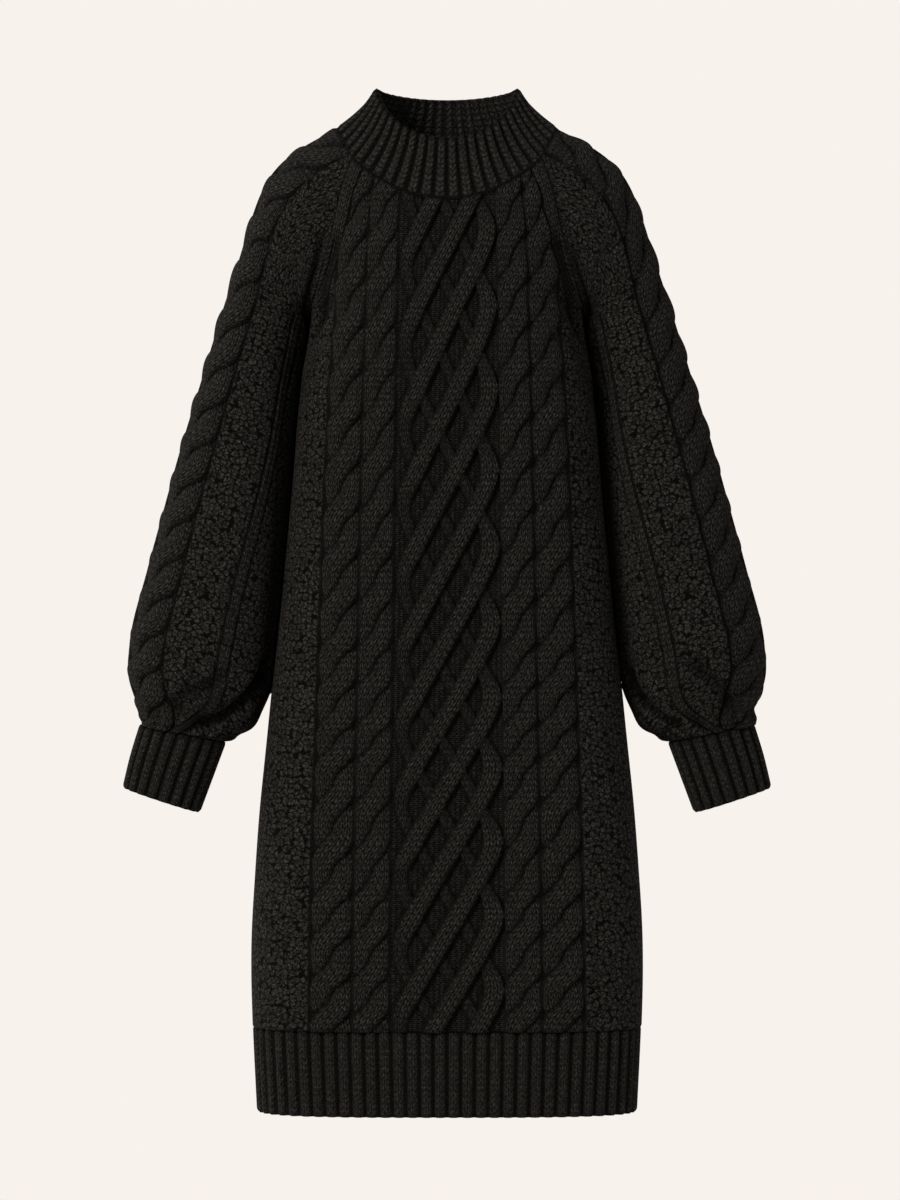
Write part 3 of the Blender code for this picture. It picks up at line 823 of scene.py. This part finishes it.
def resting_on_body(grid):
    """The left sleeve with its inner side let in until it rests against the body."""
    x, y, z = grid[..., 0], grid[..., 1], grid[..., 2]
    depth = np.where(y < 0, read(BODY, "front", z), read(BODY, "back", z))
    body_x = read(BODY, "half_width", z) * rounded(y / depth, read(BODY, "squareness", z))
    gap = np.clip(x - body_x - REST_CLEARANCE, 0.0, REST_REACH)
    beside = 1 - smooth(*REST_FADE, np.abs(y - REST_MIDDLE))
    along = smooth(-160.0, -184.0, z) * smooth(-584.0, -556.0, z)
    grid = grid.copy()
    grid[..., 0] = x - gap * beside * along * (x < body_x + 40.0)
    return grid


def cable_places(grid, turns, around):
    """How far round and how far down the middle of a sleeve's cable lies, row by row."""
    share = np.clip(np.arange(len(grid)) / CAP_ROWS, 0, 1)
    turn = CABLE_TURN_AT_NECK + (CABLE_TURN - CABLE_TURN_AT_NECK) * smooth(0, 1, share)
    middle = np.array([np.interp(place, turns, row) for place, row in zip(turn, around)])
    line = np.array([at_lengths(row, turns, np.array([place]))[0] for place, row in zip(turn, grid)])
    down = lengths_along(line)
    return middle[:, None], (down - down[CAP_ROWS])[:, None]


def sleeve_chart(across, down, own_down, inner_line, side):
    """A sleeve's design: moss stitch, the cable, and a pair of knit columns that drifts from the inner side
    to the front. Down counts along the cable near it, own_down along each column, both from the underarm."""
    chart = chart_like(across)
    moss_relief = -0.5 + 0.3 * np.sin(across / 17.0 + down / 51.0) * np.sin(down / 37.0)
    over(chart, True, relief=moss_relief, column=across / MOSS_WIDTH, row=down / MOSS_HEIGHT, moss=1.0)
    beside_cable = np.abs(across) < SLEEVE_CABLE["half"] + SLEEVE_GROOVE
    # Painted shade in the groove round the cable.
    over(chart, beside_cable, relief=-2.6, moss=0.0, hollow=0.7)
    rope(chart, across * side, down, SLEEVE_CROSSINGS, **SLEEVE_CABLE)
    over(chart, (inner_line < 30.0) & (own_down > -20.0), relief=-0.3)
    chain_line = inner_line - CHAIN_PLACE - CHAIN_DRIFT * smooth(30.0, 370.0, own_down)
    chained = (np.abs(chain_line) < CHAIN_GROOVES_HALF) & (own_down > -10.0)
    # Painted shade in the grooves round the pair of knit columns.
    over(chart, chained, knit=0.0, moss=0.0, relief=-2.2, hollow=0.7)
    for middle in (-CHAIN_WIDTH / 2, CHAIN_WIDTH / 2):
        chain(chart, np.where(chained, chain_line - middle, 99.0), down)
    return chart


def sleeve_folds(name, turns, girth, down, own_down, armpit_edge):
    """How deep the cloth lies in its folds: one by the armpit, a few large ones, and the cuff's gathers."""
    from_top = own_down - own_down[:1]
    fold = 6.5 * bell(from_top - 12.0, 9.0) * armpit_edge * smooth(0.0, 5.0, from_top)
    for start_turn, start_down, end_turn, end_down, width, depth in FOLDS[name]:
        share = np.clip((down - start_down) / (end_down - start_down), 0.0, 1.0)
        middle = start_turn + share * (end_turn - start_turn)
        away = ((turns - middle + 0.5) % 1.0 - 0.5) * girth
        beyond = np.maximum(np.maximum(end_down - own_down, own_down - start_down), 0.0)
        fold += depth * bell(away, width) * bell(beyond, width)
    up = own_down[-1:] - own_down
    for turn, reach, width, depth in GATHERS:
        drift = 0.00025 * up * np.sin(40.0 * turn)
        away = ((turns - turn - drift + 0.5) % 1.0 - 0.5) * girth
        rise = edging(up, reach) ** 1.3 * smooth(0.0, 7.0, up)
        fold += GATHER_STRENGTH * depth * bell(away, width) * rise
    return fold


def make_sleeve(name):
    side = 1.0 if name == "left_sleeve" else -1.0
    turns = sleeve_turns()
    grid = resting_on_body(sleeve_grid(turns))
    around, girth = lengths_round(grid)
    own_down = lengths_down(grid)
    from_top, up = own_down, own_down[-1:] - own_down
    own_down = own_down - own_down[CAP_ROWS]
    cable_middle, cable_down = cable_places(grid, turns, around)
    across = around - cable_middle
    down = own_down + (cable_down - own_down) * edging(np.abs(across), 80.0, 38.0)
    inner_line = np.minimum(around, girth - around)
    chart = sleeve_chart(across, down, own_down, inner_line, side)
    edge_height, edge_y = grid[:1, :, 2], grid[:1, :, 1]
    armpit_edge = smooth(-70.0, -135.0, edge_height) * (edge_y < 0)
    fold = sleeve_folds(name, turns, girth, down, own_down, armpit_edge)
    bulge = 6.0 * bell(inner_line, 34.0) * bell(own_down - 403.0, 15.0)
    puff = 2.6 * bell(up - 8.0, 5.5)
    fold -= (bulge + puff) * smooth(0.0, 4.0, up)
    chart["relief"] = chart["relief"] - fold
    chart["fold"] = fold
    # Painted shade on the sleeve's inner side where it rests against the body, and in its folds.
    shade_against_body = edging(inner_line, 24.0, 3.0) * smooth(-30.0, 10.0, own_down) * (around < girth / 2)
    chart["hollow"] = chart["hollow"] + 0.75 * shade_against_body + 0.12 * np.clip(fold - 0.6, 0.0, 7.0)
    chart["hold"] = edging(from_top, 3.5, 0.5)
    sink = 1.3 * edging(from_top, 2.6) + 0.6 * edging(up, 2.0)
    if side < 0:
        grid, chart, sink = mirrored(grid), twin_chart(chart), twin_columns(sink)
    top_lap = 1.2 + 2.3 * smooth(-80.0, -125.0, grid[0, ::SLEEVE_STEP, 2])[:, None]
    return knit_piece(name, grid, chart, True, SLEEVE_STEP, sink, laps=(top_lap, 2.0))


def twin_columns(values):
    """A closed grid's columns in the order that suits its mirrored twin."""
    return np.concatenate([values[:, :1], values[:, :0:-1]], axis=1)


def twin_chart(chart):
    return {key: twin_columns(values) for key, values in chart.items()}


def mirrored(grid):
    """The wearer's right-hand twin."""
    return twin_columns(grid * (-1.0, 1.0, 1.0))


# -------- cuffs

CUFF_RIBS, CUFF_RIB_COLUMNS, CUFF_ROWS = 19, 10, 38


def make_cuff(name):
    turns = np.arange(CUFF_RIBS * CUFF_RIB_COLUMNS) / (CUFF_RIBS * CUFF_RIB_COLUMNS)
    downs = np.linspace(0.0, CUFF["down"][-1], CUFF_ROWS + 1)
    grid = np.array([ring(CUFF, down, turns, CUFF_SQUARENESS)[0] for down in downs])
    around, girth = lengths_round(grid)
    position = around / girth * CUFF_RIBS
    down = downs[:, None] + np.zeros_like(position)
    chart = rib(position, down, 0.76, 2, 0.8, 2.8)
    # Painted shade along the cuff's top, under the sleeve's puff.
    chart["hollow"] = np.maximum(chart["hollow"], 0.6 * edging(down, 6.0, 1.0))
    inner = rib(position + 0.5, down, 0.6, 1, 0.6, 1.4)
    sink = 0.9 * edging(down, 2.6) + 1.6 * edging(down[-1:] - down, 3.0)
    if name == "right_cuff":
        grid, sink = mirrored(grid), twin_columns(sink)
        chart, inner = twin_chart(chart), twin_chart(inner)
    return knit_piece(name, grid, chart, True, 1, sink, inner, laps=(-1.2, 0.0))


# -------- collar

COLLAR_RIBS, COLLAR_RIB_COLUMNS, COLLAR_ROWS = 46, 8, 34


def neckline():
    """The seam round the neck, from the middle front by the wearer's left."""
    front = yoke_row(FRONT_RAGLAN, 1.0, "front")[0]
    back = yoke_row(BACK_RAGLAN, 1.0, "back")[0]
    half = len(front) // 2
    neck = curve_through((front[-1], SIDE_NECK, back[-1]), 60)
    side = np.concatenate([front[half:], neck[1:-1], back[: half - 1 : -1]])
    return np.concatenate([side, side[-2:0:-1] * (-1.0, 1.0, 1.0), side[:1]])


def make_collar():
    loop = neckline()
    along = lengths_along(loop)
    places = np.arange(COLLAR_RIBS * COLLAR_RIB_COLUMNS) / (COLLAR_RIBS * COLLAR_RIB_COLUMNS)
    base = at_lengths(loop, along, places * along[-1])
    turn = 2 * np.pi * places
    y = -np.cos(turn)
    rim_y = np.where(y < 0, RIM_FRONT, RIM_BACK) * y
    rim = np.stack([RIM_HALF_WIDTH * np.sin(turn), rim_y, np.zeros_like(y)], axis=1)
    forward, backward = np.clip(-y, 0, 1), np.clip(y, 0, 1)
    front_drop = (RIM_SIDE_HEIGHT - RIM_FRONT_HEIGHT) * forward**RIM_FRONT_DIP
    back_drop = (RIM_SIDE_HEIGHT - RIM_BACK_HEIGHT) * backward**RIM_BACK_DIP
    rim[:, 2] = RIM_SIDE_HEIGHT - front_drop - back_drop
    rows = []
    for share in np.linspace(1.0, 0.0, COLLAR_ROWS + 1):
        lean = share + COLLAR_LEAN * share * (1 - share)
        row = base + (rim - base) * lean
        row[:, 2] = base[:, 2] + (rim[:, 2] - base[:, 2]) * share
        rows.append(row)
    grid = np.array(rows)
    down = lengths_down(grid)
    up = down[-1:] - down
    position = places * COLLAR_RIBS + np.zeros_like(down)
    chart = rib(position, down, 0.78, 1, 1.0, 3.2)
    inner = rib(position + 0.5, down, 0.84, 1, 1.0, 1.8)
    # The inner ribs get less painted shade in their grooves, and the outer face a band of painted shade
    # along the seam at the neck.
    inner["hollow"] = 0.55 * inner["hollow"]
    chart["hollow"] = np.maximum(chart["hollow"], 0.85 * edging(up, 3.5, 0.5))
    chart["hold"] = edging(up, 3.0, 0.5)
    sink = 1.5 * edging(down, 4.0) + 1.2 * edging(up, 3.0)
    return knit_piece("collar", grid, chart, True, 1, sink, inner, laps=(0.0, 2.5))


# -------- the yarn

STITCH_RELIEF = 1.6  # how far a stitch stands up from the gaps round it
FUZZ_SCALE = 900.0  # bits of fuzz in a metre
FLECK_SCALE = 420.0  # flecks in a metre: coarser than real fibres, which would be too fine to show
MOSS_LIGHT = 0.8  # a moss loop's brightest place, beside a knit column's
YARN_SHADE, YARN_MIDDLE, YARN_LIGHT = "#131211", "#22211F", "#393734"


def strayed(tree, place, noise, amount):
    """A place pushed aside by a noise's colour, which is grey on average."""
    push = add(tree, "ShaderNodeVectorMath", {0: noise, 1: (0.5, 0.5, 0.5)}, operation="SUBTRACT")
    return add(tree, "ShaderNodeVectorMath", {0: push, 1: amount, 2: place}, operation="MULTIPLY_ADD")


def from_middle(tree, count):
    """How far a running number is from the middle of its step."""
    part = add(tree, "ShaderNodeMath", {0: count}, operation="FRACT")
    part = add(tree, "ShaderNodeMath", {0: part, 1: 0.5}, operation="SUBTRACT")
    return add(tree, "ShaderNodeMath", {0: part}, operation="ABSOLUTE")


def swing(tree, value, turn):
    """The sine of a value times a turn."""
    angle = add(tree, "ShaderNodeMath", {0: value, 1: turn}, operation="MULTIPLY")
    return add(tree, "ShaderNodeMath", {0: angle}, operation="SINE")


def knit_columns(tree, column, row):
    """Knit columns, as height from 0 to 1: two legs that meet at the bottom of each stitch."""
    part = from_middle(tree, column)
    joined = {"Value": part, "From Min": 0.0, "From Max": 0.3, "To Min": 0.5, "To Max": 0.0}
    joined = add(tree, "ShaderNodeMapRange", joined)
    leg = add(tree, "ShaderNodeMath", {0: swing(tree, part, 2 * np.pi), 1: joined}, operation="MAXIMUM")
    slope = add(tree, "ShaderNodeMath", {0: part, 1: 1.4, 2: row}, operation="MULTIPLY_ADD")
    stitch = add(tree, "ShaderNodeMath", {0: slope}, operation="FRACT")
    stitch = add(tree, "ShaderNodeMath", {0: swing(tree, stitch, np.pi), 1: 0.8}, operation="POWER")
    vee = add(tree, "ShaderNodeMath", {0: leg, 1: stitch}, operation="MULTIPLY")
    return add(tree, "ShaderNodeMath", {0: vee, 1: 0.9}, operation="POWER")


def purl_bars(tree, column, row):
    """The purl side, as height from 0 to 1: short bars that lean to and fro."""
    bar = from_middle(tree, row)
    lean = add(tree, "ShaderNodeMath", {0: bar, 1: 1.3, 2: column}, operation="MULTIPLY_ADD")
    lean = add(tree, "ShaderNodeMath", {0: swing(tree, lean, np.pi)}, operation="ABSOLUTE")
    return add(tree, "ShaderNodeMath", {0: swing(tree, bar, 2 * np.pi), 1: lean}, operation="MULTIPLY")


def moss_loops(tree, place):
    """Moss stitch, as height from 0 to 1: small loops with an eye in each and pits between them."""
    cells = {"Vector": place, "Scale": 1.0, "Randomness": 0.9}
    rim = add(tree, "ShaderNodeTexVoronoi", cells, voronoi_dimensions="2D", feature="DISTANCE_TO_EDGE")
    rim = add(tree, "ShaderNodeMapRange", {"Value": rim, "From Min": 0.02, "From Max": 0.16})
    middle = add(tree, "ShaderNodeTexVoronoi", cells, voronoi_dimensions="2D")
    pit = {"Value": middle, "From Min": 0.45, "From Max": 0.7, "To Min": 1.0, "To Max": 0.0}
    pit = add(tree, "ShaderNodeMapRange", pit)
    eye = {"Value": middle, "From Min": 0.03, "From Max": 0.2, "To Min": 0.3, "To Max": 1.0}
    eye = add(tree, "ShaderNodeMapRange", eye)
    loop = add(tree, "ShaderNodeMath", {0: rim, 1: pit}, operation="MULTIPLY")
    loop = add(tree, "ShaderNodeMath", {0: loop, 1: eye}, operation="MULTIPLY")
    return add(tree, "ShaderNodeMath", {0: loop, 1: MOSS_LIGHT}, operation="MULTIPLY")


def melange_knit(name, shade=0.06, light=1.7):
    """Worsted wool and acrylic yarn, spun from near-black, charcoal and grey fibres and knitted. The eye
    gets a matt surface, with painted light on each stitch, painted shade in the gaps between stitches, and a
    fine flecking of paler fibres. The yarn's colour is scaled down by painted shade between stitches and up
    by painted light on top of them."""
    material = bpy.data.materials.new(name)
    material.use_nodes = True
    tree = material.node_tree
    shader = tree.nodes["Principled BSDF"]
    place = add(tree, "ShaderNodeAttribute", attribute_name="stitch").node.outputs["Vector"]
    knit, moss, hollow = (
        add(tree, "ShaderNodeAttribute", attribute_name=field).node.outputs["Fac"]
        for field in ("knit", "moss", "hollow")
    )
    body = tree.nodes.new("ShaderNodeTexCoord").outputs["Object"]

    # Every stitch sits a little off its place, and a moss loop more than a knit stitch.
    drift = add(tree, "ShaderNodeTexNoise", {"Vector": place, "Scale": 0.9, "Detail": 1.0})
    drift = drift.node.outputs["Color"]
    kink = add(tree, "ShaderNodeTexNoise", {"Vector": place, "Scale": 2.6, "Detail": 0.0})
    kink = kink.node.outputs["Color"]
    wander = strayed(tree, place, drift, (0.8, 0.8, 0.0))
    wander = strayed(tree, wander, kink, (0.7, 0.7, 0.0))
    split = add(tree, "ShaderNodeSeparateXYZ", {0: strayed(tree, place, drift, (0.16, 0.5, 0.0))}).node
    column, row = split.outputs[0], split.outputs[1]

    columns = knit_columns(tree, column, row)
    pattern = add(tree, "ShaderNodeMix", {0: knit, 2: purl_bars(tree, column, row), 3: columns})
    pattern = add(tree, "ShaderNodeMix", {0: moss, 2: pattern, 3: moss_loops(tree, wander)})
    fibre = add(tree, "ShaderNodeTexNoise", {"Vector": body, "Scale": FUZZ_SCALE, "Detail": 2.0})
    height = add(tree, "ShaderNodeMath", {0: fibre, 1: 0.3, 2: pattern}, operation="MULTIPLY_ADD")

    fleck = {"Vector": body, "Scale": FLECK_SCALE, "Detail": 3.0, "Roughness": 0.6}
    fleck = add(tree, "ShaderNodeTexNoise", fleck)
    ramp = add(tree, "ShaderNodeValToRGB", {0: fleck}).node
    ramp.color_ramp.elements[0].position = 0.32
    ramp.color_ramp.elements[0].color = srgb(YARN_SHADE)
    ramp.color_ramp.elements[1].position = 0.72
    ramp.color_ramp.elements[1].color = srgb(YARN_LIGHT)
    ramp.color_ramp.elements.new(0.5).color = srgb(YARN_MIDDLE)
    # Painted light and shade: the stitch pattern brightens the colour on top of each stitch and darkens it
    # in the gaps, and the chart's painted shade darkens it further in grooves, folds and seams.
    lit = add(tree, "ShaderNodeMapRange", {"Value": pattern, "To Min": shade, "To Max": light})
    dim = add(tree, "ShaderNodeMapRange", {"Value": hollow, "To Min": 1.0, "To Max": 0.12})
    lit = add(tree, "ShaderNodeMath", {0: lit, 1: dim}, operation="MULTIPLY")
    colour = add(tree, "ShaderNodeVectorMath", {0: ramp.outputs[0], "Scale": lit}, operation="SCALE")
    tree.links.new(colour, shader.inputs["Base Color"])
    bump = add(tree, "ShaderNodeBump", {"Height": height, "Distance": STITCH_RELIEF * MM, "Strength": 1.0})
    tree.links.new(bump, shader.inputs["Normal"])
    finish = {"Roughness": 0.9, "IOR": 1.5, "Specular IOR Level": 0.06}
    sheen = {"Sheen Weight": 0.03, "Sheen Roughness": 0.45, "Sheen Tint": srgb("#B8B0A8")}
    for socket, value in (finish | sheen).items():
        shader.inputs[socket].default_value = value
    return material


# -------- the whole dress


def finish_piece(piece, node, material):
    """Gives a piece its yarn, hangs it from the root and hides the solid that it stands for."""
    piece.data.materials.append(material)
    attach(piece, "root")
    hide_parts(node)


def main():
    place_camera()
    studio()
    cable_knit = melange_knit("charcoal_melange_cable_knit")
    sleeve_knit = melange_knit("charcoal_melange_moss_knit")
    rib_knit = melange_knit("charcoal_melange_rib_knit", 0.4, 1.5)
    front = make_panel("front", "front", FRONT_RAGLAN)
    finish_piece(front, "front_panel", cable_knit)
    back = make_panel("back", "back", BACK_RAGLAN)
    finish_piece(back, "back_panel", cable_knit)
    for name in ("left_sleeve", "right_sleeve"):
        finish_piece(make_sleeve(name), name, sleeve_knit)
    finish_piece(make_collar(), "collar", rib_knit)
    for name in ("left_cuff", "right_cuff"):
        finish_piece(make_cuff(name), name, rib_knit)
    for side in ("front", "back"):
        hem = make_hem_rib(side + "_hem", side)
        finish_piece(hem, side + "_hem_rib", rib_knit)


main()
